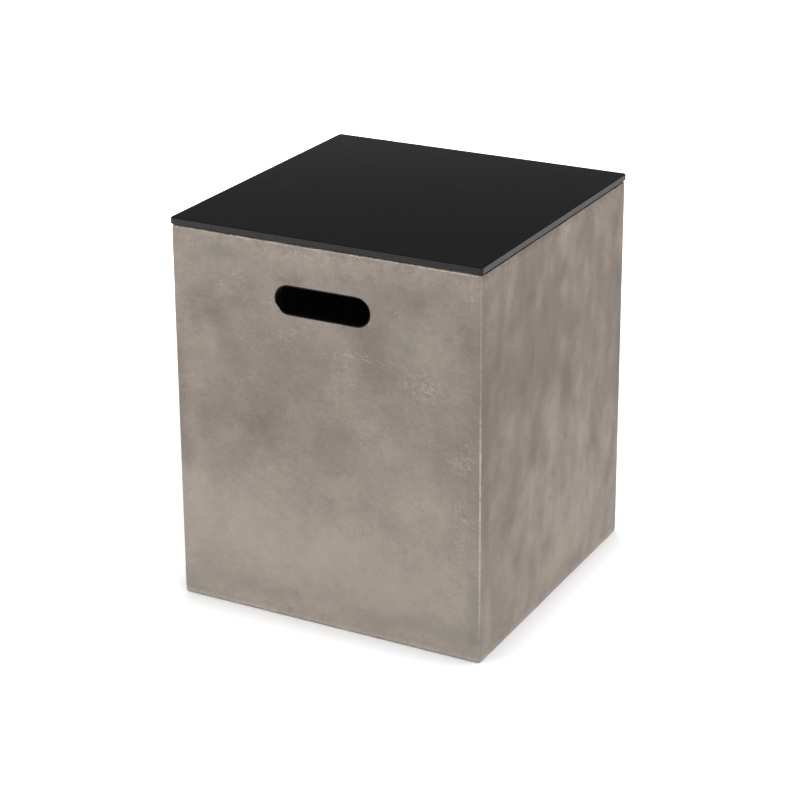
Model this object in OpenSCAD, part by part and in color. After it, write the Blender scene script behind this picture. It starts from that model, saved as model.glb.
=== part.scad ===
// Square cover for an upright gas bottle: a cast shell of light concrete, open below,
// with a handle slot in the front and back walls, and a loose glass table top.
// Millimetres. The origin is on the floor under the centre; the front is -Y and up is +Z.

/* [Shell] */
// Outside width of the shell at its top
shell_w = 398; // [370:2:460]
// Height of the shell, without feet, bumpers and glass
shell_h = 470; // [450:1:560]
// Extra width on each side at the bottom, the draft of the mould
shell_draft = 2; // [1:0.5:6]
// Thickness of the four walls
wall = 11; // [9:0.5:16]
// Radius of the upright corners outside
corner_r = 3; // [2.5:0.5:10]
// Radius of the upright corners inside
inner_corner_r = 14; // [10:1:24]
// Rounding of the top and bottom outer edges
edge_r = 1.6; // [1:0.2:2.4]

/* [Top rim] */
// Width of the inward rim, from the outer face to the neck
rim_w = 34; // [30:1:50]
// Thickness of the rim
rim_t = 12; // [10:1:20]
// Fillet under the rim, where it meets the walls
rim_fillet = 9; // [5:1:9]
// Radius of the corners of the square neck
neck_r = 22; // [10:1:40]
// Width of the bevel along the upper edge of the neck
neck_bevel = 1.5; // [0.5:0.5:4]

/* [Handle slots] */
// Width of each slot in the concrete
slot_w = 124; // [100:2:150]
// Height of each slot in the concrete
slot_h = 36; // [30:1:44]
// Depth of a slot's centre below the top of the shell
slot_depth = 67; // [60:1:90]
// Wall of the moulded liner
liner_wall = 1.2; // [1:0.1:3]
// Radius of the rounded mouth that the fingers pull on, inside
liner_mouth_r = 3; // [1:0.5:4]
// Width of the liner's flange behind the wall
liner_flange_w = 7; // [4:0.5:9]
// Thickness of the liner's flange
liner_flange_t = 2; // [1.5:0.5:4]

/* [Hose notch] */
// Width of the notch in the back wall
notch_w = 60; // [40:2:90]
// Height of the notch, from the bottom of the shell
notch_h = 46; // [40:1:70]
// Radius of the notch's upper corners
notch_r = 18; // [10:1:20]

/* [Corner gussets] */
// Length of a gusset along each inner face
gusset_leg = 54; // [50:1:90]
// Height of a gusset in its corner
gusset_h = 63; // [50:1:90]
// Height of a gusset at its long inner edge
gusset_edge_h = 31; // [24:1:40]

/* [Feet] */
// Distance of a foot's axis from the two outer faces at the bottom
foot_inset = 27; // [26:0.5:30]
// Diameter of a foot pad
foot_d = 20; // [17:0.5:22]
// Height that a pad stands below the shell
foot_drop = 0.8; // [0.6:0.1:3]
// Depth of the pocket that holds a pad
foot_pocket = 6; // [5:0.5:9]
// Thickness of the rubber that the screw clamps
foot_web = 2.2; // [1.5:0.1:2.4]
// Thread diameter of the foot screw
screw_d = 5; // [4:0.5:6]
// Head diameter of the foot screw
screw_head_d = 9; // [8:0.5:10]
// Head height of the foot screw
screw_head_h = 2.4; // [1.8:0.1:2.4]
// Length of the screw under its head
screw_len = 14; // [10:1:14]
// Outer diameter of the steel washer
washer_d = 11; // [10.5:0.5:12]
// Thickness of the steel washer
washer_t = 1; // [0.8:0.1:1]
// Outer diameter of the cast-in brass insert
insert_d = 9; // [8:0.5:12]
// Length of the insert
insert_len = 14; // [12:1:18]

/* [Glass top] */
// Overhang of the glass past the shell on each side
glass_overhang = 1; // [0:0.5:4]
// Thickness of the glass
glass_t = 8; // [6:0.5:12]
// Radius of the glass corners, seen from above
glass_corner_r = 4; // [2:0.5:12]
// Width of the ground bevels along the glass edges
glass_bevel = 0.7; // [0.4:0.1:1.2]

/* [Bumpers] */
// Distance of a bumper's axis from the two outer faces at the top
bumper_inset = 19; // [14:0.5:22]
// Diameter of a bumper's head
bumper_d = 12; // [9:0.5:14]
// Height of a bumper's head, the gap under the glass
bumper_h = 1.2; // [1:0.1:3]
// Diameter of a bumper's stem
bumper_stem_d = 5; // [3:0.5:6]
// Length of a bumper's stem
bumper_stem_len = 9; // [5:0.5:9]

/* [Fits] */
// Clearance all round a piece that is glued or pushed into the concrete
seat_gap = 0.1; // [0.05:0.05:0.2]
// Radial clearance of the screw in the insert
thread_gap = 0.05; // [0.03:0.01:0.08]
// Radial clearance of the screw in the washer and the pad
screw_gap = 0.3; // [0.2:0.05:0.5]

/* [Hidden] */

concrete_grey = "#9d958b";
glass_black = "#1a1a1c";
liner_black = "#161617";
bumper_clear = "#c9cccb";
rubber_black = "#242424";
steel_grey = "#b4b6b8";
brass_yellow = "#b8954a";

round_fn = 96;  // facets that stand for a true circle
blend_fn = 32;  // facets round a corner of a hulled block
arc_steps = 4;  // steps in a quarter round of a hulled block
past = 1;       // how far a cut runs past the face that it opens

shell_z = foot_drop;                // bottom of the shell
shell_top = shell_z + shell_h;      // upper face of the rim
glass_z = shell_top + bumper_h;     // underside of the glass
glass_w = shell_w + 2 * glass_overhang;
base_w = shell_w + 2 * shell_draft; // outside width at the bottom
neck_w = shell_w - 2 * rim_w;       // clear width of the neck
wall_lean = atan(shell_draft / shell_h);
foot_at = base_w / 2 - foot_inset;
bumper_at = shell_w / 2 - bumper_inset;
pad_top = shell_z + foot_pocket;    // the pocket's ceiling, which the pad bears on
washer_z = pad_top - foot_web - washer_t;
head_z = washer_z - screw_head_h;

// The four corners, as signs of X and Y
FRONT_LEFT = [-1, -1];
FRONT_RIGHT = [1, -1];
BACK_LEFT = [-1, 1];
BACK_RIGHT = [1, 1];
CORNERS = [FRONT_LEFT, FRONT_RIGHT, BACK_LEFT, BACK_RIGHT];

// Outside width of the leaning shell at a height
function width_at(z) = shell_w + 2 * shell_draft * (shell_top - z) / shell_h;

function arc(cx, cy, r, from, to, steps) =
  [for (i = [0:steps]) let (a = from + (to - from) * i / steps) [cx + r * cos(a), cy + r * sin(a)]];

// A disc that lies on z = 0 with its lower edge rounded
module edge_disc(r, round_r) {
  rotate_extrude($fn = blend_fn)
    polygon(concat([[0, 0]], arc(r - round_r, round_r, round_r, -90, 0, arc_steps), [[0, round_r]]));
}

// A square block from z0 to z1 that leans in from width w0 to width w1, with rounded corners and edges
module drafted_block(w0, w1, z0, z1, r, lower_r, upper_r) {
  hull()
    for (c = CORNERS) {
      translate([c[0] * (w0 / 2 - r), c[1] * (w0 / 2 - r), z0])
        edge_disc(r, lower_r);
      translate([c[0] * (w1 / 2 - r), c[1] * (w1 / 2 - r), z1])
        mirror([0, 0, 1])
          edge_disc(r, upper_r);
    }
}

// A square outline with round corners
module round_square(w, r) {
  square([w - 2 * r, w], center = true);
  square([w, w - 2 * r], center = true);
  for (c = CORNERS)
    translate([c[0] * (w / 2 - r), c[1] * (w / 2 - r)])
      circle(r, $fn = round_fn);
}

// The slot's outline: a rectangle between two half circles
module slot_outline(w, h) {
  square([w - h, h], center = true);
  for (side = [-1, 1])
    translate([side * (w - h) / 2, 0])
      circle(d = h, $fn = round_fn);
}

// Sets its children at the slot in the front wall: y = 0 on the outer face, +Y into the wall
module at_front_slot() {
  translate([0, -shell_w / 2, shell_top])
    rotate([-wall_lean, 0, 0])
      translate([0, 0, -slot_depth / cos(wall_lean)])
        children();
}

module slot_cut() {
  at_front_slot()
    translate([0, wall + past, 0])
      rotate([90, 0, 0])
        linear_extrude(height = wall + 2 * past)
          slot_outline(slot_w, slot_h);
}

// Section of a liner: X from the middle of the slot outwards, Y from the outer face inwards
module liner_section() {
  skin_r = slot_h / 2 - seat_gap;
  bore_r = skin_r - liner_wall;
  flange_r = slot_h / 2 + liner_flange_w;
  flange_y = wall + seat_gap;
  back_y = flange_y + liner_flange_t;
  rim_r = liner_flange_t / 2;
  polygon(concat(
    [[bore_r, 0], [skin_r, 0], [skin_r, flange_y], [flange_r, flange_y]],
    arc(flange_r - rim_r, back_y - rim_r, rim_r, 0, 90, arc_steps),
    arc(bore_r + liner_mouth_r, back_y - liner_mouth_r, liner_mouth_r, 90, 180, 2 * arc_steps)
  ));
}

// The section runs straight above and below the slot, and turns half a circle round each end
module handle_liner() {
  straight = slot_w - slot_h;
  at_front_slot()
    for (side = [-1, 1]) {
      translate([side * straight / 2, 0, 0])
        rotate([-90, 0, 0])
          rotate([0, 0, side * 90 + 180])
            rotate_extrude(angle = 180, $fn = round_fn)
              liner_section();
      mirror([0, 0, side < 0 ? 1 : 0])
        translate([-straight / 2, 0, 0])
          rotate([90, 0, 90])
            linear_extrude(height = straight)
              mirror([1, -1, 0])
                liner_section();
    }
}

// A bridge-shaped cut through the back wall, open at the bottom
module hose_notch() {
  cut_depth = wall + shell_draft + 2 * past;
  translate([0, base_w / 2 + past, shell_z])
    rotate([90, 0, 0])
      linear_extrude(height = cut_depth) {
        translate([-notch_w / 2, -past])
          square([notch_w, notch_h - notch_r + past]);
        translate([-notch_w / 2 + notch_r, 0])
          square([notch_w - 2 * notch_r, notch_h]);
        for (side = [-1, 1])
          translate([side * (notch_w / 2 - notch_r), notch_h - notch_r])
            circle(notch_r, $fn = round_fn);
      }
}

// A triangular block in each inner corner, which carries a foot. Its top falls away from the corner
module gusset() {
  root = base_w / 2 - wall / 2;    // the block starts in the middle of the walls
  leg = gusset_leg + wall / 2;
  reach = leg / sqrt(2);           // from the start to the long inner edge, along the diagonal
  level = (wall / 2) * sqrt(2);    // the stretch within the walls, where the top is level
  intersection() {
    translate([0, 0, shell_z])
      linear_extrude(height = gusset_h + past)
        polygon([[root, root], [root - leg, root], [root, root - leg]]);
    translate([root, root, shell_z])
      rotate([0, 0, 225])
        rotate([90, 0, 0])
          linear_extrude(height = 2 * leg, center = true)
            polygon([
              [0, 0], [reach, 0], [reach, gusset_edge_h],
              [level, gusset_h], [0, gusset_h]
            ]);
  }
}

// The square neck through the rim, with its upper edge bevelled
module neck_cut() {
  translate([0, 0, shell_top - rim_t - past])
    linear_extrude(height = rim_t + 2 * past)
      round_square(neck_w, neck_r);
  hull()
    for (c = CORNERS)
      translate([c[0] * (neck_w / 2 - neck_r), c[1] * (neck_w / 2 - neck_r), shell_top - neck_bevel])
        cylinder(r1 = neck_r, r2 = neck_r + 2 * neck_bevel, h = 2 * neck_bevel, $fn = blend_fn);
}

// The pocket of a foot and the hole for its insert above it
module foot_seat() {
  translate([0, 0, shell_z - past])
    cylinder(d = foot_d + 2 * seat_gap, h = foot_pocket + past, $fn = round_fn);
  translate([0, 0, pad_top - past])
    cylinder(d = insert_d + 2 * seat_gap, h = insert_len + seat_gap + past, $fn = round_fn);
}

module concrete_shell() {
  hollow_from = shell_z - edge_r - past;
  hollow_to = shell_top - rim_t;
  color(concrete_grey)
    difference() {
      union() {
        difference() {
          drafted_block(base_w, shell_w, shell_z, shell_top, corner_r, edge_r, edge_r);
          drafted_block(width_at(hollow_from) - 2 * wall, width_at(hollow_to) - 2 * wall,
                        hollow_from, hollow_to, inner_corner_r, edge_r, rim_fillet);
        }
        for (c = CORNERS)
          mirror([c[0] < 0 ? 1 : 0, 0, 0])
            mirror([0, c[1] < 0 ? 1 : 0, 0])
              gusset();
      }
      neck_cut();
      slot_cut();
      mirror([0, 1, 0])
        slot_cut();
      hose_notch();
      for (c = CORNERS)
        translate([c[0] * foot_at, c[1] * foot_at, 0])
          foot_seat();
      for (c = CORNERS)
        translate([c[0] * bumper_at, c[1] * bumper_at, shell_top - rim_t - past])
          cylinder(d = bumper_stem_d + 2 * seat_gap, h = rim_t + 2 * past, $fn = round_fn);
    }
}

// The loose table top, with its edges ground to small bevels
module glass_top() {
  color(glass_black)
    hull()
      for (c = CORNERS)
        translate([c[0] * (glass_w / 2 - glass_corner_r), c[1] * (glass_w / 2 - glass_corner_r), glass_z])
          rotate_extrude($fn = blend_fn)
            polygon([
              [0, 0], [glass_corner_r - glass_bevel, 0], [glass_corner_r, glass_bevel],
              [glass_corner_r, glass_t - glass_bevel], [glass_corner_r - glass_bevel, glass_t], [0, glass_t]
            ]);
}

// A soft clear stud in the rim that the glass lies on
module glass_bumper(c) {
  head_r = bumper_d / 2;
  stem_r = bumper_stem_d / 2;
  crown = 0.4 * bumper_h;    // the head's upper edge is rounded
  tip = 1;                   // the stem's end is bevelled
  color(bumper_clear)
    translate([c[0] * bumper_at, c[1] * bumper_at, shell_top])
      rotate_extrude($fn = round_fn)
        polygon(concat(
          [[0, -bumper_stem_len], [stem_r - tip, -bumper_stem_len], [stem_r, tip - bumper_stem_len]],
          [[stem_r, 0], [head_r, 0]],
          arc(head_r - crown, bumper_h - crown, crown, 0, 90, arc_steps),
          [[0, bumper_h]]
        ));
}

// A moulded pad in its pocket, with a counterbore that hides the screw
module foot_pad(c) {
  pad_r = foot_d / 2;
  taper = 0.8;               // the part below the shell narrows to the floor
  bore_r = screw_d / 2 + screw_gap;
  counter_r = washer_d / 2 + seat_gap;
  color(rubber_black)
    translate([c[0] * foot_at, c[1] * foot_at, 0])
      rotate_extrude($fn = round_fn)
        polygon([
          [counter_r, 0], [pad_r - taper, 0], [pad_r, foot_drop], [pad_r, pad_top],
          [bore_r, pad_top], [bore_r, pad_top - foot_web], [counter_r, pad_top - foot_web]
        ]);
}

module foot_washers() {
  color(steel_grey)
    for (c = CORNERS)
      translate([c[0] * foot_at, c[1] * foot_at, washer_z])
        difference() {
          cylinder(d = washer_d, h = washer_t, $fn = round_fn);
          translate([0, 0, -past])
            cylinder(d = screw_d + 2 * screw_gap, h = washer_t + 2 * past, $fn = round_fn);
        }
}

// Cheese-head screws with a cross-shaped drive, head down
module foot_screws() {
  drive_w = screw_head_d / 2;
  drive_t = screw_head_d / 8;
  drive_depth = 0.6 * screw_head_h;
  head_round = 0.6;
  tip = 1;
  color(steel_grey)
    for (c = CORNERS)
      translate([c[0] * foot_at, c[1] * foot_at, head_z])
        difference() {
          rotate_extrude($fn = round_fn)
            polygon(concat(
              [[0, 0]],
              arc(screw_head_d / 2 - head_round, head_round, head_round, -90, 0, arc_steps),
              [
                [screw_head_d / 2, screw_head_h], [screw_d / 2, screw_head_h],
                [screw_d / 2, screw_head_h + screw_len - tip],
                [screw_d / 2 - tip, screw_head_h + screw_len], [0, screw_head_h + screw_len]
              ]
            ));
          for (turn = [0, 90])
            rotate([0, 0, turn])
              translate([-drive_w / 2, -drive_t / 2, -past])
                cube([drive_w, drive_t, drive_depth + past]);
        }
}

// Brass inserts cast into the gussets, waisted so that the concrete keys into them
module foot_inserts() {
  insert_r = insert_d / 2;
  waist_r = insert_r - 1;
  land = insert_len / 5;     // length of the plain band at each end
  flank = 1;                 // length of the slope from a band to the waist
  bore_r = screw_d / 2 + thread_gap;
  color(brass_yellow)
    for (c = CORNERS)
      translate([c[0] * foot_at, c[1] * foot_at, pad_top])
        rotate_extrude($fn = round_fn)
          polygon([
            [bore_r, 0], [insert_r, 0], [insert_r, land], [waist_r, land + flank],
            [waist_r, insert_len - land - flank], [insert_r, insert_len - land],
            [insert_r, insert_len], [bore_r, insert_len]
          ]);
}

concrete_shell();
glass_top();
color(liner_black) handle_liner();  // handle_liner_front
color(liner_black) mirror([0, 1, 0]) handle_liner();  // handle_liner_back
glass_bumper(FRONT_LEFT);  // glass_bumper_front_left
glass_bumper(FRONT_RIGHT);  // glass_bumper_front_right
glass_bumper(BACK_LEFT);  // glass_bumper_back_left
glass_bumper(BACK_RIGHT);  // glass_bumper_back_right
foot_pad(FRONT_LEFT);  // foot_pad_front_left
foot_pad(FRONT_RIGHT);  // foot_pad_front_right
foot_pad(BACK_LEFT);  // foot_pad_back_left
foot_pad(BACK_RIGHT);  // foot_pad_back_right
foot_washers();
foot_screws();
foot_inserts();
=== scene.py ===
import math
import random

import bmesh
import bpy
from mathutils import Matrix, Vector, noise


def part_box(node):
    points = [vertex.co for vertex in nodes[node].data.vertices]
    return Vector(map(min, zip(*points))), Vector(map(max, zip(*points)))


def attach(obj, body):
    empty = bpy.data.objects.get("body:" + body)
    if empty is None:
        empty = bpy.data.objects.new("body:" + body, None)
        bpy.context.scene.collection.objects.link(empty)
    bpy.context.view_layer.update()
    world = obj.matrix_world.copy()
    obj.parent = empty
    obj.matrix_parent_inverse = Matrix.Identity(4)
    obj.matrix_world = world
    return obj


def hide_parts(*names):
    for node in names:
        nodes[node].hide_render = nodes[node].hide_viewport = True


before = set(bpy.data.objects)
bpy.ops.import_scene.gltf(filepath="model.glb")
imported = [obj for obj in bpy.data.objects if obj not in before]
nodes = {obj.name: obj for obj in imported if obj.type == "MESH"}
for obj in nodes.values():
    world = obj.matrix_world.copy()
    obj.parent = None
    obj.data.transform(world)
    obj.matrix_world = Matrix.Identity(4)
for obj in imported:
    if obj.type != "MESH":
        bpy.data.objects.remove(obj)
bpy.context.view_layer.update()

scene = bpy.context.scene
print("frame loaded:", len(nodes), "nodes")


# A colour as a paint shop writes it, 0 to 255, turned into what the shader takes
def paint(red, green, blue):
    shares = [c / 255 for c in (red, green, blue)]
    return tuple(s / 12.92 if s <= 0.04045 else ((s + 0.055) / 1.055) ** 2.4 for s in shares) + (1.0,)


# One socket, so that sums on it add their Math nodes
class Signal:
    def __init__(self, finish, socket):
        self.finish, self.socket = finish, socket

    def reckon(self, operation, *values):
        return self.finish.node("ShaderNodeMath", {"operation": operation}, dict(enumerate(values)))

    def __add__(self, other):
        return self.reckon("ADD", self, other)

    def __sub__(self, other):
        return self.reckon("SUBTRACT", self, other)

    def __rsub__(self, other):
        return self.reckon("SUBTRACT", other, self)

    def __mul__(self, other):
        return self.reckon("MULTIPLY", self, other)

    def __truediv__(self, other):
        return self.reckon("DIVIDE", self, other)

    def __pow__(self, other):
        return self.reckon("POWER", self, other)

    def __gt__(self, other):
        return self.reckon("GREATER_THAN", self, other)

    def __abs__(self):
        return self.reckon("ABSOLUTE", self)

    def __neg__(self):
        return self.reckon("MULTIPLY", self, -1.0)

    __radd__, __rmul__ = __add__, __mul__


# A material or the world while its nodes are laid
class Finish:
    def __init__(self, owner):
        self.owner = owner
        owner.use_nodes = True
        self.tree = owner.node_tree
        self.tree.nodes.clear()

    def node(self, kind, settings=None, sockets=None, output=0):
        made = self.tree.nodes.new(kind)
        for name, value in (settings or {}).items():
            setattr(made, name, value)
        for name, value in (sockets or {}).items():
            if isinstance(value, Signal):
                self.tree.links.new(value.socket, made.inputs[name])
            else:
                made.inputs[name].default_value = value
        return Signal(self, made.outputs[output]) if len(made.outputs) else None

    def also(self, signal, output):  # another output of the node that a signal comes from
        return Signal(self, signal.socket.node.outputs[output])

    def ease(self, value, low, high):  # 0 below low, 1 above high, smooth between
        settings = {"interpolation_type": "SMOOTHSTEP"}
        return self.node("ShaderNodeMapRange", settings, {0: value, 1: low, 2: high})

    def mix(self, share, first, second):  # two colours
        return self.node("ShaderNodeMix", {"data_type": "RGBA"}, {0: share, 6: first, 7: second}, 2)

    def blend(self, share, first, second):  # two numbers
        return self.node("ShaderNodeMix", {"data_type": "FLOAT"}, {0: share, 2: first, 3: second})

    def lesser(self, first, second):
        return self.node("ShaderNodeMath", {"operation": "MINIMUM"}, {0: first, 1: second})

    def greater(self, first, second):
        return self.node("ShaderNodeMath", {"operation": "MAXIMUM"}, {0: first, 1: second})

    def tint(self, colour, strength):  # a colour or a vector times a number
        return self.node("ShaderNodeVectorMath", {"operation": "SCALE"}, {0: colour, "Scale": strength})

    def sum(self, first, second):
        return self.node("ShaderNodeVectorMath", {"operation": "ADD"}, {0: first, 1: second})

    def shift(self, vector, step):
        return self.sum(vector, (step, step, step))

    def place(self):  # the piece's own coordinates, in millimetres
        here = self.node("ShaderNodeTexCoord", output="Object")
        return self.node("ShaderNodeVectorMath", {"operation": "SCALE"}, {0: here, "Scale": 1000.0})

    def parts(self, vector):
        first = self.node("ShaderNodeSeparateXYZ", None, {0: vector})
        return first, self.also(first, 1), self.also(first, 2)

    def joined(self, x, y, z):
        return self.node("ShaderNodeCombineXYZ", None, {0: x, 1: y, 2: z})

    def cloud(self, vector, size, detail=3.0, rough=0.5, twist=0.0):  # size is one blotch, in mm
        blotches = {"Vector": vector, "Scale": 1 / size, "Detail": detail, "Roughness": rough, "Distortion": twist}
        return self.node("ShaderNodeTexNoise", None, blotches)

    def mark(self, vector, middle, size):  # a soft spot: 1 at its middle, 0 past its size
        placing = {"Vector": vector, "Location": middle, "Scale": size}
        inside = self.node("ShaderNodeMapping", {"vector_type": "TEXTURE"}, placing)
        ball = self.node("ShaderNodeTexGradient", {"gradient_type": "SPHERICAL"}, {0: inside}, "Fac")
        return self.ease(ball, 0.0, 1.0)

    # pale scratches: one short, nearly straight line in some cells, more of them where scuffed is high
    def scratches(self, across, up, lean, scuffed, kind):
        long, thick, spread = kind["long"], kind["thick"], kind["spread"]
        here = self.joined(across, up, 0.0)
        placing = {"Vector": here, "Scale": 1 / kind["cell"]}
        cells = self.node("ShaderNodeTexVoronoi", {"voronoi_dimensions": "2D"}, placing)
        chance, bend, turn = self.parts(self.also(cells, 1))
        middle = self.also(cells, 2)
        fromMiddle = self.node("ShaderNodeVectorMath", {"operation": "SUBTRACT"}, {0: here, 1: middle})
        right, above, _ = self.parts(fromMiddle)
        angle = lean + (turn - 0.5) * spread
        cosine = self.node("ShaderNodeMath", {"operation": "COSINE"}, {0: angle})
        sine = self.node("ShaderNodeMath", {"operation": "SINE"}, {0: angle})
        forth = right * cosine + above * sine
        aside = above * cosine - right * sine + forth * forth * (bend - 0.5) * (kind["bend"] / long)
        line = (1 - self.ease(abs(aside), thick * 0.5, thick * 1.6)) * (1 - self.ease(abs(forth), long * 0.3, long))
        return line * self.ease(chance + scuffed * 0.9, 1.0 - kind["share"], 1.12 - kind["share"])

    def bump(self, height, depth, strength=1.0):  # depth in metres
        return self.node("ShaderNodeBump", None, {"Strength": strength, "Distance": depth, "Height": height})

    def surface(self, **sockets):
        named = {name.replace("_", " "): value for name, value in sockets.items()}
        shader = self.node("ShaderNodeBsdfPrincipled", None, named)
        self.node("ShaderNodeOutputMaterial", None, {"Surface": shader})
        return self.owner


def finishNamed(name):
    return Finish(bpy.data.materials.new(name))


# Camera: the photograph's own viewing angle
view = {
    "lens": 100.908, "sensor": 36.0,
    "azimuth": 28.061, "elevation": 22.262, "roll": -0.340, "distance": 2.7421,
    "target": (-0.0026, -0.0097, 0.2207),
}


def setCamera():
    lens = bpy.data.cameras.new("camera")
    lens.lens, lens.sensor_width = view["lens"], view["sensor"]
    camera = bpy.data.objects.new("camera", lens)
    scene.collection.objects.link(camera)
    turn = Matrix.Rotation(math.radians(view["azimuth"]), 4, "Z")
    turn = turn @ Matrix.Rotation(math.radians(90 - view["elevation"]), 4, "X")
    turn = turn @ Matrix.Rotation(math.radians(view["roll"]), 4, "Z")
    camera.matrix_world = Matrix.Translation(view["target"]) @ turn @ Matrix.Translation((0, 0, view["distance"]))
    scene.camera = camera


setCamera()
print("camera set")

# Studio: a white floor, a white sweep low down, and a dark ceiling for the glass to mirror
studio = {
    "floorSize": 16.0, "floorPaint": (0.80, 0.81, 0.825, 1.0), "floorGlow": 0.52,
    "far": (0.5, 1.3), "farGlow": 0.6, "mirroredGlow": 0.4, "contactShadow": 0.62, "contactReach": 0.045,
    "sweepTop": 0.02, "ceilingFrom": 0.315, "sweep": 1.0, "ceiling": 0.080,
}
lamps = {
    "overhead": {"at": (0.4, -0.1, 2.6), "aim": (0.0, 0.0, 0.0), "size": 3.0, "watts": 66.0},
    "key": {"at": (-1.3, -1.7, 0.65), "aim": (0.0, 0.0, 0.22), "size": 1.3, "watts": 17.4},
    "side": {"at": (1.7, 0.8, 0.50), "aim": (0.1, 0.0, 0.22), "size": 1.1, "watts": 8.7},
    "fill": {"at": (-1.2, 1.6, 0.80), "aim": (0.0, 0.0, 0.22), "size": 1.6, "watts": 13.0},
}


def makeStudio():
    mesh = bpy.data.meshes.new("floor")
    reach = studio["floorSize"] / 2
    corners = [(-reach, -reach, 0), (reach, -reach, 0), (reach, reach, 0), (-reach, reach, 0)]
    mesh.from_pydata(corners, [], [(0, 1, 2, 3)])
    floor = bpy.data.objects.new("floor", mesh)
    scene.collection.objects.link(floor)
    f = finishNamed("white studio floor")
    camera = f.node("ShaderNodeLightPath")
    seen = camera + f.also(camera, "Is Glossy Ray") * studio["mirroredGlow"] + f.also(camera, "Is Transmission Ray")
    diffuse = f.node("ShaderNodeBsdfDiffuse", None, {"Color": studio["floorPaint"]})
    x, y, _ = f.parts(f.node("ShaderNodeTexCoord", output="Object"))
    far = f.ease((x * x + y * y) ** 0.5, *studio["far"])
    # painted contact shadow: the floor's glow dims where ambient occlusion finds the object close
    nook = f.node("ShaderNodeAmbientOcclusion", {"samples": 12}, {"Distance": studio["contactReach"]}, "AO")
    level = f.greater(studio["floorGlow"] + far * studio["farGlow"] - (1 - nook) * studio["contactShadow"], 0.0) * seen
    glow = f.node("ShaderNodeEmission", None, {"Color": (1, 1, 1, 1), "Strength": level})
    both = f.node("ShaderNodeAddShader", None, {0: diffuse, 1: glow})
    f.node("ShaderNodeOutputMaterial", None, {"Surface": both})
    mesh.materials.append(f.owner)
    world = bpy.data.worlds.new("studio")
    scene.world = world
    f = Finish(world)
    camera = f.node("ShaderNodeLightPath")
    up = f.parts(f.node("ShaderNodeTexCoord", output="Generated"))[2]
    dark = f.ease(up, studio["sweepTop"], studio["ceilingFrom"])
    around = studio["sweep"] - dark * (studio["sweep"] - studio["ceiling"])
    sky = f.node("ShaderNodeBackground", None, {"Color": (1, 1, 1, 1), "Strength": camera + (1 - camera) * around})
    f.node("ShaderNodeOutputWorld", None, {"Surface": sky})
    for name, lamp in lamps.items():
        light = bpy.data.lights.new(name, "AREA")
        light.size, light.energy = lamp["size"], lamp["watts"]
        holder = bpy.data.objects.new(name, light)
        scene.collection.objects.link(holder)
        holder.location = lamp["at"]
        holder.rotation_euler = (Vector(lamp["aim"]) - Vector(lamp["at"])).to_track_quat("-Z", "Y").to_euler()
        holder.visible_camera, holder.visible_glossy = False, False
    scene.view_settings.view_transform = "Standard"


makeStudio()
print("studio lit")

# The casting's outside is laid in rings over the CAD shell, a hair inside it, with worn and chipped arrises
casting = {
    "node": "concrete_shell", "cornerRadius": 0.003, "edgeRadius": 0.0011,
    "lean": 0.002, "draft": 0.002 / 0.470, "flatWidth": 0.396,
    "fineStep": 0.0009, "coarseStep": 0.0075, "growth": 1.22, "arcSteps": 6, "arrisSteps": 5,
    "inset": 0.00002, "uneven": 0.00007, "unevenSize": 0.030,
    "wear": 0.00036, "wearReach": 0.0024, "wearSize": 0.013, "nicks": 0.00022, "nickSize": 0.0035,
    "cornerWear": 0.0014, "cornerReach": 0.0042, "rimReach": 0.046,
    "leastRadius": 0.0005, "sharpFrom": 32, "seed": 41,
}


def halfWidth(high, z):  # of the leaning shell at a height
    return high.x - casting["lean"] + (high.z - z) * casting["draft"]


def gradedStops(fine, coarse, growth, length):
    stops, step = [0.0], fine
    while stops[-1] < length / 2:
        stops.append(stops[-1] + step)
        step = min(step * growth, coarse)
    near = [s * length / 2 / stops[-1] for s in stops]
    return near + [length - s for s in reversed(near[:-1])]


def ringPoints(half, radius, shares):
    points = []
    for quarter in range(4):
        turn = Matrix.Rotation(quarter * math.pi / 2, 2)
        straight = half - radius
        points += [turn @ Vector((half, -straight + share * 2 * straight)) for share in shares]
        for step in range(1, casting["arcSteps"]):
            angle = step / casting["arcSteps"] * math.pi / 2
            points.append(turn @ Vector((straight + radius * math.cos(angle), straight + radius * math.sin(angle))))
    return points


def joinRings(bm, rings):  # into a closed tube with flat ends
    for first, second in zip(rings, rings[1:]):
        for i in range(len(first)):
            j = (i + 1) % len(first)
            bm.faces.new((first[i], first[j], second[j], second[i]))
    bm.faces.new(list(reversed(rings[0])))
    bm.faces.new(rings[-1])


def makeCasting():
    low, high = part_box(casting["node"])
    edge, radius = casting["edgeRadius"], casting["cornerRadius"]
    fine, coarse, growth = casting["fineStep"], casting["coarseStep"], casting["growth"]
    shares = gradedStops(fine / casting["flatWidth"], coarse / casting["flatWidth"], growth, 1.0)
    flat = [s for s in gradedStops(fine, coarse, growth, 2 * casting["rimReach"]) if s <= casting["rimReach"]]
    arrisSteps = casting["arrisSteps"]
    arc = [i / arrisSteps * math.pi / 2 for i in range(1, arrisSteps)]
    levels = [(edge + s, low.z) for s in reversed(flat)]
    levels += [(edge - edge * math.sin(a), low.z + edge - edge * math.cos(a)) for a in arc]
    levels += [(0.0, low.z + edge + s) for s in gradedStops(fine, coarse, growth, high.z - low.z - 2 * edge)]
    levels += [(edge - edge * math.cos(a), high.z - edge + edge * math.sin(a)) for a in arc]
    levels += [(edge + s, high.z) for s in flat]
    bm = bmesh.new()
    rings = []
    for inset, z in levels:
        points = ringPoints(halfWidth(high, z) - inset, max(radius - inset, casting["leastRadius"]), shares)
        rings.append([bm.verts.new((p.x, p.y, z)) for p in points])
    joinRings(bm, rings)
    bm.normal_update()
    wearDown(bm, low, high)
    mesh = bpy.data.meshes.new("concrete_casting")
    bm.to_mesh(mesh)
    bm.free()
    return mesh


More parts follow.
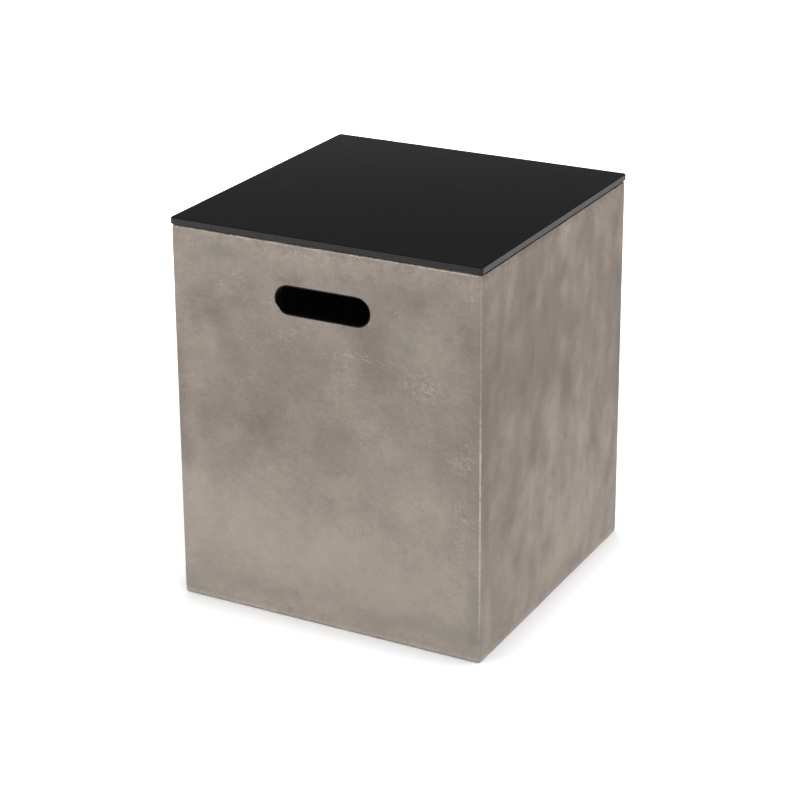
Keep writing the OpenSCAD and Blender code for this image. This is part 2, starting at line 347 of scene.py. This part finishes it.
def wearDown(bm, low, high):
    shift = Vector((3.1, 7.7, 1.3))
    moves = []
    for v in bm.verts:
        x, y, z = v.co
        half = halfWidth(high, z)
        gaps = sorted((half - abs(x), half - abs(y), z - low.z, high.z - z))
        gap = gaps[0] + gaps[1]  # from the nearest arris, as two of the four are near 0 there
        worn = math.exp(-gap / casting["wearReach"])
        corner = math.exp(-(gap + gaps[2]) / casting["cornerReach"]) * casting["cornerWear"]
        rough = noise.noise(v.co / casting["unevenSize"] + shift) * 0.5 + 0.5
        wave = max(0.0, noise.noise(v.co / casting["wearSize"] - shift) * 0.9 + 0.35)
        nick = max(0.0, noise.noise(v.co / casting["nickSize"] + shift * 2) + 0.1)
        depth = casting["inset"] + casting["uneven"] * rough + corner
        depth += worn * (casting["wear"] * wave + casting["nicks"] * nick)
        moves.append(v.normal * -depth)
    for v, move in zip(bm.verts, moves):
        v.co += move


# Chips along the arrises and pits in the walls, as lumps to cut away
chips = {
    "along": 11, "rim": 16, "long": (0.0012, 0.0055), "deep": (0.0005, 0.0013), "apart": 0.008, "sunk": 0.0003,
    "fromEnd": 0.010, "fromCorner": 0.006, "cornerSunk": 0.0008,
    "pits": 70, "pitSize": (0.0004, 0.0011), "pitFromEnd": 0.012, "pitReach": 0.185, "pitProud": 0.00005,
    "slot": {"halfWide": 0.075, "z": 0.404, "halfHigh": 0.030},  # no pit here
}


def roundLump(bm, at, size, turn, seed):
    made = bmesh.ops.create_icosphere(bm, subdivisions=2, radius=1.0)["verts"]
    for v in made:
        v.co *= 1 + 0.28 * noise.noise(v.co * 1.7 + Vector((seed, seed * 0.7, 0)))
        v.co = Vector(at) + turn @ Vector((v.co.x * size[0], v.co.y * size[1], v.co.z * size[2]))


def makeChips():
    low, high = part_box(casting["node"])
    draw = random.Random(casting["seed"])
    bm = bmesh.new()
    used = []
    top, bottom = halfWidth(high, high.z), high.x

    def crowded(at):
        return any((Vector(at) - other).length < chips["apart"] for other in used)

    def chip(at, along, outward):
        if crowded(at):
            return
        used.append(Vector(at))
        length, depth = draw.uniform(*chips["long"]) * draw.uniform(0.5, 1.0), draw.uniform(*chips["deep"])
        side = Vector(along).cross(Vector(outward)).normalized()
        turn = Matrix((Vector(along).normalized(), side, Vector(outward).normalized())).transposed()
        roundLump(bm, at, (length, depth * 1.5, depth), turn, draw.uniform(0, 90))

    for signX, signY in ((-1, -1), (1, -1), (1, 1), (-1, 1)):
        for _ in range(chips["along"]):
            z = draw.uniform(low.z + chips["fromEnd"], high.z - chips["fromEnd"])
            half = halfWidth(high, z) - chips["cornerSunk"]
            chip((signX * half, signY * half, z), (0, 0, 1), (signX, signY, 0))
    for axis in (0, 1):
        for sign in (-1, 1):
            for z, half, lift in ((high.z, top, 1), (low.z, bottom, -1)):
                for _ in range(chips["rim"]):
                    along = draw.uniform(-half + chips["fromCorner"], half - chips["fromCorner"])
                    at, outward, line = [0, 0, z - chips["sunk"] * lift], [0, 0, lift], [0, 0, 0]
                    at[axis], at[1 - axis] = sign * (half - chips["sunk"]), along
                    outward[axis], line[1 - axis] = sign, 1
                    chip(at, line, outward)
    for _ in range(chips["pits"]):
        axis, sign = draw.choice((0, 1)), draw.choice((-1, 1))
        z = draw.uniform(low.z + chips["pitFromEnd"], high.z - chips["pitFromEnd"])
        along = draw.uniform(-chips["pitReach"], chips["pitReach"])
        slot = chips["slot"]
        if abs(along) < slot["halfWide"] and abs(z - slot["z"]) < slot["halfHigh"]:
            continue
        at, outward, line = [0, 0, z], [0, 0, 0], [0, 0, 1]
        at[axis], at[1 - axis], outward[axis] = sign * (halfWidth(high, z) + chips["pitProud"]), along, sign
        if crowded(at):
            continue
        used.append(Vector(at))
        size = draw.uniform(*chips["pitSize"])
        side = Vector(line).cross(Vector(outward))
        turn = Matrix((Vector(line), side, Vector(outward))).transposed()
        roundLump(bm, at, (size * draw.uniform(0.8, 1.4), size, size * 0.7), turn, draw.uniform(0, 90))
    mesh = bpy.data.meshes.new("chips")
    bm.to_mesh(mesh)
    bm.free()
    return mesh


def cutSolid(name, mesh, steps):  # each step is an operation and the mesh it uses
    piece = bpy.data.objects.new(name, mesh)
    scene.collection.objects.link(piece)
    helpers = []
    for operation, tool in steps:
        helper = bpy.data.objects.new(name + "_tool", tool)
        scene.collection.objects.link(helper)
        cut = piece.modifiers.new(operation, "BOOLEAN")
        cut.operation, cut.object, cut.solver = operation, helper, "MANIFOLD"
        helpers.append(helper)
    bpy.context.view_layer.update()
    done = bpy.data.meshes.new_from_object(piece.evaluated_get(bpy.context.evaluated_depsgraph_get()))
    piece.modifiers.clear()
    piece.data = done
    for helper in helpers:
        bpy.data.objects.remove(helper)
    return piece


def weldedCopy(node):
    bm = bmesh.new()
    bm.from_mesh(nodes[node].data)
    bmesh.ops.remove_doubles(bm, verts=bm.verts, dist=1e-7)
    mesh = bpy.data.meshes.new(node + "_copy")
    bm.to_mesh(mesh)
    bm.free()
    return mesh


def smoothTo(piece, degrees):
    mesh = piece.data
    mesh.polygons.foreach_set("use_smooth", [True] * len(mesh.polygons))
    mesh.set_sharp_from_angle(angle=math.radians(degrees))
    even = piece.modifiers.new("even", "WEIGHTED_NORMAL")
    even.keep_sharp = True


body = cutSolid("concrete_casting", makeCasting(), [
    ("INTERSECT", weldedCopy("concrete_shell")), ("DIFFERENCE", makeChips())])
smoothTo(body, casting["sharpFrom"])
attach(body, "cover")
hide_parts("concrete_shell")
print("casting cut:", len(body.data.polygons), "faces")

# Concrete: soft clouds, trowel and brush streaks, pale arrises worn and with painted highlight, specks, scratches,
# a few stains, and painted light and shade
concrete = {
    "dark": paint(127, 115, 106), "pale": paint(182, 170, 158), "levels": 54.0,  # levels from dark to pale
    "worn": paint(196, 184, 170), "arris": paint(232, 218, 202), "speck": paint(222, 212, 199),
    "cool": paint(146, 142, 134), "stain": paint(134, 136, 128), "line": paint(98, 90, 82),
    "gap": paint(30, 27, 25), "rawShaded": paint(66, 62, 58), "rawShadedPale": paint(92, 87, 81),
    "top": 470.8, "foot": 0.8, "half": 199.0, "draft": 2 / 470, "deep": 28.0,  # in mm
    "bend": 74.0, "sideBend": 40.0, "tightBend": 34.0,  # how far the spots' outlines wander, in mm
    "roughness": 0.74, "bumpDepth": 0.00018, "bumpStrength": 0.7,
    # scratches: one to a cell at most, half length and half width, all in mm, spread of their lean in radians,
    # and the share of cells that have one away from the scuffed places
    "stroke": {"cell": 10, "long": 4.8, "thick": 0.26, "bend": 0.35, "spread": 0.9, "share": 0.06},
    "nick": {"cell": 5.5, "long": 2.0, "thick": 0.25, "bend": 0.35, "spread": 2.4, "share": 0.04},
    # soft spots on the front: along, up, width and height in mm, and how many levels paler or darker; the first, as
    # wide as the wall, is painted light, the lower front paler
    "front": (
        (0, 105, 430, 110, 6), (-197, 385, 28, 90, 8), (-192, 140, 60, 60, 12), (-190, 60, 40, 50, 4),
        (-120, 450, 60, 18, -6), (-145, 378, 48, 46, -20), (-100, 395, 30, 46, -7), (-60, 330, 135, 92, -8),
        (-118, 322, 30, 36, -9), (-130, 262, 40, 40, -6), (-155, 248, 58, 48, -13), (-85, 235, 58, 46, -19),
        (-90, 275, 62, 52, -8), (-130, 185, 52, 36, -9), (28, 322, 36, 42, 7), (68, 358, 38, 72, -15),
        (10, 240, 62, 52, -10), (-25, 300, 42, 32, -5), (98, 265, 36, 36, -2), (165, 268, 46, 38, -6),
        (182, 285, 26, 46, -3), (176, 388, 30, 40, -16), (125, 437, 42, 24, -11), (52, 280, 32, 36, 5),
        (82, 240, 36, 32, 4), (140, 370, 52, 72, 6), (125, 180, 52, 46, 9), (20, 183, 52, 28, 3),
        (60, 160, 52, 42, -7), (5, 148, 26, 32, -5), (-20, 150, 62, 52, -6), (-60, 180, 52, 42, 3),
        (-80, 92, 84, 62, 9), (-5, 90, 62, 52, 6), (60, 90, 100, 62, 4), (112, 63, 52, 42, 5),
        (165, 95, 42, 62, 5), (-140, 100, 52, 62, 2), (-90, 30, 130, 24, 2), (70, 30, 150, 22, 4),
        (20, 455, 150, 24, 9), (150, 462, 60, 14, 6), (75, 452, 40, 20, -4), (-36, 42, 76, 34, 7),
        (140, 36, 80, 24, 7), (-60, 345, 90, 48, -4), (-106, 198, 40, 40, -6), (-186, 300, 26, 70, 7),
        (-60, 210, 26, 50, 5), (-188, 105, 22, 44, -5), (-42, 428, 26, 14, -20), (-70, 398, 12, 14, 3),
        (44, 376, 34, 16, -9),
    ),
    # the same on the right wall; the first, as wide as the wall, is painted shade, the upper wall darker
    "side": (
        (0, 330, 430, 150, -4), (-194, 330, 26, 150, -9), (-192, 180, 22, 80, -6), (-165, 425, 24, 34, 8),
        (-75, 395, 46, 62, -6), (-130, 385, 28, 28, -6), (-20, 315, 60, 52, -9), (-60, 350, 72, 52, -4),
        (-100, 300, 62, 42, -3), (-165, 205, 40, 50, -7), (25, 445, 34, 34, 8), (130, 448, 50, 26, 6),
        (0, 410, 60, 30, -4), (20, 378, 24, 40, 9), (55, 375, 24, 40, 8), (100, 372, 28, 44, 9),
        (138, 375, 22, 34, 7), (170, 360, 26, 60, -6), (192, 300, 24, 120, -12), (190, 170, 26, 150, -14),
        (28, 318, 34, 30, 7), (125, 290, 36, 52, 9), (35, 275, 40, 46, -7), (-120, 255, 28, 42, 8),
        (0, 240, 32, 60, 11), (75, 235, 50, 30, -4), (70, 265, 24, 34, 5), (-75, 180, 42, 46, 7),
        (15, 195, 28, 42, 6), (-10, 140, 28, 60, 10), (80, 170, 34, 42, 9), (150, 150, 30, 42, 6),
        (-140, 100, 34, 42, 8), (-60, 100, 50, 60, 5), (65, 80, 50, 70, 7), (0, 90, 60, 60, 4),
        (120, 150, 30, 40, -4), (160, 105, 40, 34, -7), (-50, 150, 34, 26, -4), (-130, 140, 60, 50, -4),
        (30, 38, 90, 30, 7), (-170, 25, 40, 20, -3), (-150, 60, 30, 60, -4),
    ),
    # stains on the front: along, up, width, height, strength
    "stains": (
        (-185, 14, 44, 26, 0.4), (-160, 46, 44, 30, 0.3), (192, 70, 20, 84, 0.75), (150, 34, 80, 26, 0.55),
        (90, 32, 90, 24, 0.35), (104, 376, 34, 30, 0.6), (122, 436, 44, 22, 0.6), (-135, 450, 50, 18, 0.7),
        (189, 290, 12, 60, 0.4), (190, 400, 12, 40, 0.4), (190, 220, 10, 50, 0.4), (-105, 31, 110, 22, 0.5),
        (-20, 36, 80, 20, 0.35), (-140, 380, 40, 30, 0.25), (60, 22, 70, 18, 0.3), (130, 54, 40, 20, 0.3),
    ),
    # scuffed places on the front: along, up, width, height, strength
    "scuffs": (
        (45, 351, 70, 9, 1.2), (122, 332, 42, 30, 0.9), (140, 322, 24, 16, 0.6), (-40, 364, 30, 14, 0.9),
        (90, 410, 22, 16, 0.5), (-70, 394, 16, 16, 0.7), (181, 262, 18, 60, 0.9), (180, 180, 18, 44, 1.0),
        (170, 120, 24, 60, 0.4), (10, 266, 30, 12, 0.4), (125, 180, 26, 16, 0.4), (60, 238, 26, 14, 0.4),
        (0, 463, 150, 9, 0.7), (60, 444, 40, 12, 0.4), (150, 62, 50, 30, 0.5), (-80, 12, 60, 10, 0.6),
        (28, 318, 30, 30, 0.4), (-100, 180, 60, 20, 0.3), (190, 440, 12, 30, 0.8),
    ),
}


def concreteFinish():
    f = finishNamed("cast light concrete")
    p = f.place()
    x, y, z = f.parts(p)
    half = concrete["half"] + (concrete["top"] - z) * concrete["draft"]
    farX, farY = abs(x), abs(y)
    nearest, furthest = f.lesser(farX, farY), f.greater(farX, farY)
    fromTop, fromFace = concrete["top"] - z, half - furthest  # one of the two is near 0 on the rim and the walls
    outside = f.greater(f.ease(fromFace, 6.0, 3.0), f.ease(fromTop, 1.0, 0.5))
    sideways = f.ease(farX - farY, -0.6, 0.6)  # 1 on the left and right walls
    drift = f.shift(f.also(f.cloud(p, 52, 5, 0.62), 1), -0.5)
    sway = f.shift(f.also(f.cloud(p, 60, 2, 0.5), 1), -0.5)
    # the back wall has the front's spots turned round, and the left wall has the right wall's
    facing = -f.node("ShaderNodeMath", {"operation": "SIGN"}, {0: y})
    facingSide = f.node("ShaderNodeMath", {"operation": "SIGN"}, {0: x})

    def bent(wander, reach, turn):
        bentX, bentY, bentZ = f.parts(f.sum(p, f.tint(wander, reach)))
        return f.joined(bentX * turn, bentY * turn, bentZ)

    front = bent(drift, concrete["bend"], facing)
    tightFront = bent(drift, concrete["tightBend"], facing)
    side = bent(sway, concrete["sideBend"], facingSide)
    deep = concrete["deep"]

    # tone: 0.5 is the plain colour, lower is darker
    mottle = f.cloud(p, 20, 4, 0.6, 0.5)
    placed = 0.0
    for along, up, wide, high, levels in concrete["front"]:
        placed = f.mark(front, (along, -200, up), (wide, deep, high)) * (levels / concrete["levels"]) + placed
    for along, up, wide, high, levels in concrete["side"]:
        placed = f.mark(side, (200, along, up), (deep, wide, high)) * (levels / concrete["levels"]) + placed
    large = f.cloud(p, 90, 5, 0.6, 0.3)
    fine = f.cloud(p, 3.0, 5, 0.75)
    trowel = f.cloud(f.joined(x / 26, y / 26, (z - x * 0.12) / 3.2), 1.0, 4, 0.62, 0.9)
    slanted = f.cloud(f.joined((x + z) / 9, y / 9, (x - z) / 1.6), 1.0, 3, 0.65, 0.8)
    counter = f.cloud(f.joined((x - z) / 10, y / 10, (x + z) / 1.8), 1.0, 3, 0.65, 0.8)
    wisps = f.cloud(f.joined((x * 3 - z) / 36, y / 12, (x + z * 3) / 18), 1.0, 4, 0.65, 1.6)
    lean = y - z * 0.13
    brush = f.cloud(f.joined(x / 60, lean / 30, z / 58), 1.0, 1, 0.4, 0.3)
    dabs = f.cloud(f.joined(x / 40, lean / 17, z / 34), 1.0, 2, 0.5, 0.4)
    strands = f.cloud(f.joined(x / 30, lean / 3.5, z / 40), 1.0, 3, 0.6)
    frontStreaks = (trowel - 0.5) * 0.14 + (slanted - 0.5) * 0.28 + (counter - 0.5) * 0.18 + (wisps - 0.5) * 0.30
    sideStreaks = (brush - 0.5) * 0.70 + (dabs - 0.5) * 0.24 + (strands - 0.5) * 0.08
    # painted light and shade by height: paler towards the floor, as floor bounce would light it, and on the side
    # walls darker towards the top
    paintedLightByHeightFront = (1 - f.ease(z, 20, 300)) * 0.20
    paintedLightByHeightSide = (1 - f.ease(z, 0, 160)) * 0.10 - f.ease(z, 110, 240) * 0.165
    crust = f.greater(1 - f.ease(fromTop, 6, 34), 1 - f.ease(z, 5, 34)) * (f.cloud(p, 8, 4, 0.65) - 0.45) * 0.8
    tone = 0.50 + placed * (0.55 + mottle * 0.9)
    tone = tone + (large - 0.5) * 0.55 + (mottle - 0.5) * 0.38 + (fine - 0.5) * 0.50
    tone = tone + f.blend(sideways, frontStreaks, sideStreaks) + f.blend(sideways, paintedLightByHeightFront, paintedLightByHeightSide)
    # crust: ragged patches by the top and the foot; then painted shade on the side walls just under the glass
    tone = tone + crust - sideways * (1 - f.ease(fromTop, 2, 12)) * 0.16
    colour = f.mix(f.ease(tone, -0.12, 1.12), concrete["dark"], concrete["pale"])
    hue = f.ease(f.cloud(p, 42, 4, 0.6), 0.52, 0.72) * (1 - sideways * 0.6)
    colour = f.mix(hue * 0.22, colour, concrete["cool"])

    # stains, cooler and greener, in the corners near the floor and in a few places above
    stain = 0.0
    for along, up, wide, high, strength in concrete["stains"]:
        stain = f.mark(tightFront, (along, -200, up), (wide, deep, high)) * strength + stain
    low = (1 - f.ease(z, 6, 60)) * (1 - f.ease(half - nearest, 4, 46)) * 0.3
    stain = (stain + low) * (0.2 + f.cloud(p, 16, 3, 0.5) * 0.8 + trowel * 0.8)
    colour = f.mix(f.ease(stain, 0.0, 1.1) * 0.72 * outside, colour, concrete["stain"])

    # pale specks, short scratches and hairline scuffs
    scuffed = f.ease(f.cloud(p, 55, 3, 0.6), 0.55, 0.75) * 0.40
    for along, up, wide, high, strength in concrete["scuffs"]:
        scuffed = f.mark(tightFront, (along, -200, up), (wide, deep, high)) * strength + scuffed
    cells = f.node("ShaderNodeTexVoronoi", None, {"Vector": p, "Scale": 1 / 6.0})
    pick = f.parts(f.also(cells, 1))[0]
    specks = (1 - f.ease(cells, 0.05, 0.13)) * f.ease(pick + scuffed * 0.22, 0.90, 0.95)
    level = abs(f.cloud(f.joined(x / 15, y / 15, z / 7), 1.0, 3, 0.6, 1.2) - 0.5)
    hairs = (1 - f.ease(level, 0.0, 0.012)) * f.ease(f.cloud(p, 9, 3, 0.6), 0.44, 0.58)
    along = f.blend(sideways, x * facing, y)
    rubbed = 0.05 - f.ease(along, 60, 110) * 0.95  # level on the left of the front, steep on its right
    scratches = f.greater(f.scratches(along, z, rubbed, scuffed, concrete["stroke"]),
                          f.scratches(along, z, rubbed, scuffed, concrete["nick"]))
    pale = hairs * (0.16 + scuffed * 0.5) + scratches * (0.26 + scuffed * 0.56) + specks * 0.75
    colour = f.mix(pale * outside * (1 - sideways * 0.7) * 0.8, colour, concrete["speck"])
    cracks = f.ease(abs(f.cloud(f.joined(x / 12, y / 12, z / 5), 1.0, 2, 0.5, 0.9) - 0.43), 0.010, 0.0)
    colour = f.mix(cracks * f.ease(f.cloud(p, 8, 2), 0.52, 0.62) * 0.22 * outside, colour, concrete["line"])

    # arrises pale, partly rubbed wear and partly painted highlight; the foot's edge pale, partly wear and partly
    # painted light against its contact shade; a darker line just above the foot; painted shade under the glass
    wobble = (f.cloud(p, 9, 4, 0.65) - 0.5) * 5
    broken = f.ease(f.cloud(p, 5, 3, 0.7), 0.36, 0.56)
    runs = f.ease(f.cloud(p, 26, 4, 0.7), 0.44, 0.60)
    upright = 1 - f.ease(half - nearest + wobble * 0.14, 1.1, 2.7)
    upright = upright * (0.38 + f.ease(z + wobble * 9, 330, 250) * 0.52) * f.ease(z + wobble * 4, -60, 150)
    crown = 1 - f.ease(fromTop + fromFace + wobble * 0.9, 0.7, 3.6)
    base = 1 - f.ease(z - concrete["foot"] + fromFace + wobble * 0.8, 1.5, 8.5)
    crown = crown * (0.08 + broken * 0.3 + broken * runs * 0.5) * (1 - sideways * 0.75)
    # the top arris paler, most on the front: wear and painted highlight
    colour = f.mix(crown * outside, colour, concrete["arris"])
    # the foot's edge paler: wear, and painted light against the contact shade there
    colour = f.mix(base * (0.16 + broken * 0.34 + runs * 0.34) * outside, colour, concrete["worn"])
    # the upright arrises paler: wear and painted highlight
    colour = f.mix(upright * (0.5 + broken * 0.5) * outside, colour, concrete["arris"])
    rule = 1 - f.ease(abs(z - 8.5 + wobble * 0.9), 0.4, 2.4)
    colour = f.mix(rule * broken * 0.04 * outside, colour, concrete["line"])
    # painted shade under the glass: a dark line at the top of the walls, strong on the side walls
    under = 1 - f.ease(fromTop + fromFace + wobble * 0.12 - sideways * 0.35, 0.5, 1.3)
    colour = f.mix(under * (0.04 + sideways * 0.91) * outside, colour, concrete["gap"])
    # the inside: the raw casting's blotchy colour, made dark as painted shade inside the closed shell
    blotches = f.ease(f.cloud(p, 7, 4, 0.7), 0.36, 0.62) * 0.5 + f.ease(f.cloud(p, 44, 3), 0.35, 0.65) * 0.5
    rawShaded = f.mix(blotches, concrete["rawShaded"], concrete["rawShadedPale"])
    colour = f.mix((1 - outside) * f.ease(fromTop, 0.5, 3.0), colour, rawShaded)

    grain = f.cloud(p, 1.1, 3, 0.6)
    inner = (1 - outside) * (f.cloud(p, 22, 4, 0.6) * 6)
    height = grain + trowel * (1 - sideways) * 0.7 + strands * sideways * 0.7 + inner - specks * 0.3
    rough = concrete["roughness"] + (fine - 0.5) * 0.25 + (large - 0.5) * 0.15
    normal = f.bump(height, concrete["bumpDepth"], concrete["bumpStrength"])
    return f.surface(Base_Color=colour, Roughness=rough, Normal=normal)


cast = concreteFinish()
body.data.materials.clear()
body.data.materials.append(cast)
print("concrete finished")

# A little slurry ran over the slot's lip at the front's lower left, and makes that corner flatter
fin = {
    "middle": (-0.0440, 0.4040), "radius": 0.0180, "bite": 0.0012, "from": 199, "to": 241, "steps": 18,
    "face": -0.19948, "deep": 0.0023, "ragged": 0.00028, "raggedSize": 0.0021, "past": 0.0001,
    "round": 0.0003, "sharpFrom": 40,
}


def makeFin():
    bm = bmesh.new()
    rings = []
    middle, degrees, steps = Vector(fin["middle"]), fin["to"] - fin["from"], fin["steps"]
    angles = [math.radians(fin["from"] + degrees * i / steps) for i in range(steps + 1)]
    ends = [middle + Vector((math.cos(a), math.sin(a))) * fin["radius"] for a in (angles[0], angles[-1])]
    for i, angle in enumerate(angles):
        reach = Vector((math.cos(angle), math.sin(angle)))
        rim = middle + reach * (fin["radius"] + fin["bite"])
        chord = ends[0].lerp(ends[1], i / steps)
        ragged = noise.noise(Vector((chord.x, chord.y, 0.0)) / fin["raggedSize"]) * fin["ragged"]
        lip = chord - reach * (ragged + fin["past"])
        deep = fin["deep"] * (0.55 + 0.45 * math.sin(math.pi * i / steps))
        front, back = fin["face"], fin["face"] + deep
        soft = reach * fin["round"]
        ring = [(rim, front), (lip + soft, front), (lip, front + fin["round"]),
                (lip + soft * 0.3, (front + back) / 2), (lip + soft * 2, back), (rim, back)]
        rings.append([bm.verts.new((at.x, y, at.y)) for at, y in ring])
    joinRings(bm, rings)
    bmesh.ops.recalc_face_normals(bm, faces=bm.faces)
    mesh = bpy.data.meshes.new("slurry_fin")
    bm.to_mesh(mesh)
    bm.free()
    mesh.materials.append(cast)
    piece = bpy.data.objects.new("slurry_fin", mesh)
    scene.collection.objects.link(piece)
    smoothTo(piece, fin["sharpFrom"])
    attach(piece, "cover")


makeFin()
print("slurry fin laid")

# Black glass with ground edges, a little dust and faint wiping marks
glass = {
    "face": (0.0052, 0.0052, 0.0056, 1.0), "edge": (0.009, 0.0092, 0.0098, 1.0), "dust": paint(96, 94, 92),
    "halfWidth": 200.0, "polished": 0.035, "ground": 0.17, "specular": 0.36,
}


def glassFinish():
    f = finishNamed("black glass")
    p = f.place()
    x, y, z = f.parts(p)
    rim = glass["halfWidth"] - f.greater(abs(x), abs(y))
    ground = 1 - f.ease(rim, 0.25, 0.5)
    wiped = f.cloud(f.joined((x + y) / 90, (x - y) / 26, z), 1.0, 4, 0.6, 0.8)
    cells = f.node("ShaderNodeTexVoronoi", None, {"Vector": p, "Scale": 1 / 9.0})
    dust = (1 - f.ease(cells, 0.02, 0.05)) * (f.parts(f.also(cells, 1))[0] > 0.93) * (1 - ground)
    film = f.ease(wiped, 0.48, 0.75) * 0.012
    uneven = 0.75 + f.cloud(f.joined(x / 6, y / 6, z / 0.8), 1.0, 2) * 0.5
    colour = f.mix(ground * uneven, glass["face"], glass["edge"])
    colour = f.mix(dust * 0.5 + film, colour, glass["dust"])
    rough = glass["polished"] + f.ease(wiped, 0.4, 0.7) * 0.02
    rough = rough + ground * (glass["ground"] + f.cloud(p, 1.2, 3) * 0.12) + dust * 0.4
    wave = f.cloud(p, 120, 1)
    lines = f.cloud(f.joined(x / 0.5, y / 0.5, z / 5), 1.0, 2) * ground
    normal = f.bump(wave * 2 + lines * 0.25, 0.00004, 0.5)
    return f.surface(Base_Color=colour, Roughness=rough, Specular_IOR_Level=glass["specular"], Normal=normal)


# Black moulded plastic with a fine spark texture, and dried cement dust by the concrete
liner = {
    "black": (0.0030, 0.0030, 0.0032, 1.0), "worn": (0.008, 0.008, 0.008, 1.0), "dust": paint(92, 86, 79),
    "roughness": 0.50, "specular": 0.3,
}


def linerFinish():
    f = finishNamed("black moulded plastic")
    p = f.place()
    x, y, z = f.parts(p)
    spark = f.cloud(p, 0.7, 2)
    rubbed = f.ease(f.cloud(f.joined(x / 14, y / 3, z / 14), 1.0, 4, 0.65), 0.55, 0.72)
    dusty = f.ease(abs(y), 196.5, 199.3) * f.ease(f.cloud(p, 5, 4, 0.7), 0.58, 0.75)
    colour = f.mix(rubbed * 0.5, liner["black"], liner["worn"])
    colour = f.mix(dusty * 0.35, colour, liner["dust"])
    rough = liner["roughness"] + spark * 0.12 - rubbed * 0.08 + dusty * 0.2
    normal = f.bump(spark, 0.00004, 0.6)
    return f.surface(Base_Color=colour, Roughness=rough, Specular_IOR_Level=liner["specular"], Normal=normal)


# Small fittings: smoky silicone studs, foot rubber, zinc-plated steel and turned brass
fittings = {
    "silicone": (paint(150, 152, 150), paint(118, 120, 119)),
    "rubber": (paint(33, 33, 34), paint(70, 67, 63)),
    "steel": (paint(196, 198, 199), paint(168, 164, 142)),
    "brass": (paint(196, 160, 92), paint(140, 104, 56)),
}


def siliconeFinish():
    f = finishNamed("smoky silicone")
    p = f.place()
    bloom = f.ease(f.cloud(p, 3, 4, 0.65), 0.4, 0.7)
    colour = f.mix(bloom * 0.7, *fittings["silicone"])
    normal = f.bump(f.cloud(p, 0.6, 2), 0.00003, 0.5)
    return f.surface(Base_Color=colour, Roughness=0.38 + bloom * 0.18, Normal=normal)


def rubberFinish():
    f = finishNamed("foot rubber")
    p = f.place()
    z = f.parts(p)[2]
    grit = f.ease(f.cloud(p, 2.2, 5, 0.7), 0.50, 0.68) * (0.25 + (1 - f.ease(z, 0.0, 1.2)) * 0.6)
    colour = f.mix(grit, *fittings["rubber"])
    normal = f.bump(f.cloud(p, 0.5, 3), 0.00006, 0.8)
    return f.surface(Base_Color=colour, Roughness=0.66 + grit * 0.2, Normal=normal)


def steelFinish():
    f = finishNamed("plated steel")
    p = f.place()
    tinge = f.ease(f.cloud(p, 4, 3, 0.6), 0.42, 0.64)
    scratch = f.cloud(p, 0.35, 2)
    colour = f.mix(tinge * 0.6, *fittings["steel"])
    rough = 0.26 + scratch * 0.16 + tinge * 0.06
    return f.surface(Base_Color=colour, Metallic=1.0, Roughness=rough, Normal=f.bump(scratch, 0.00002, 0.5))


def brassFinish():
    f = finishNamed("turned brass")
    p = f.place()
    x, y, z = f.parts(p)
    turned = f.cloud(f.joined(x / 40, y / 40, z / 0.3), 1.0, 2)
    dull = f.ease(f.cloud(p, 3, 4, 0.65), 0.42, 0.66)
    colour = f.mix(dull * 0.7, *fittings["brass"])
    normal = f.bump(turned, 0.00003, 0.6)
    return f.surface(Base_Color=colour, Metallic=1.0, Roughness=0.24 + dull * 0.2, Normal=normal)


# by the start of the node's name
finishes = {
    "glass_top": glassFinish(), "handle_liner": linerFinish(), "glass_bumper": siliconeFinish(),
    "foot_pad": rubberFinish(), "foot_washers": steelFinish(), "foot_inserts": brassFinish(),
}
finishes["foot_screws"] = finishes["foot_washers"]
for name, node in nodes.items():
    for start, finish in finishes.items():
        if name.startswith(start):
            node.data.materials.clear()
            node.data.materials.append(finish)
print("finishes applied")
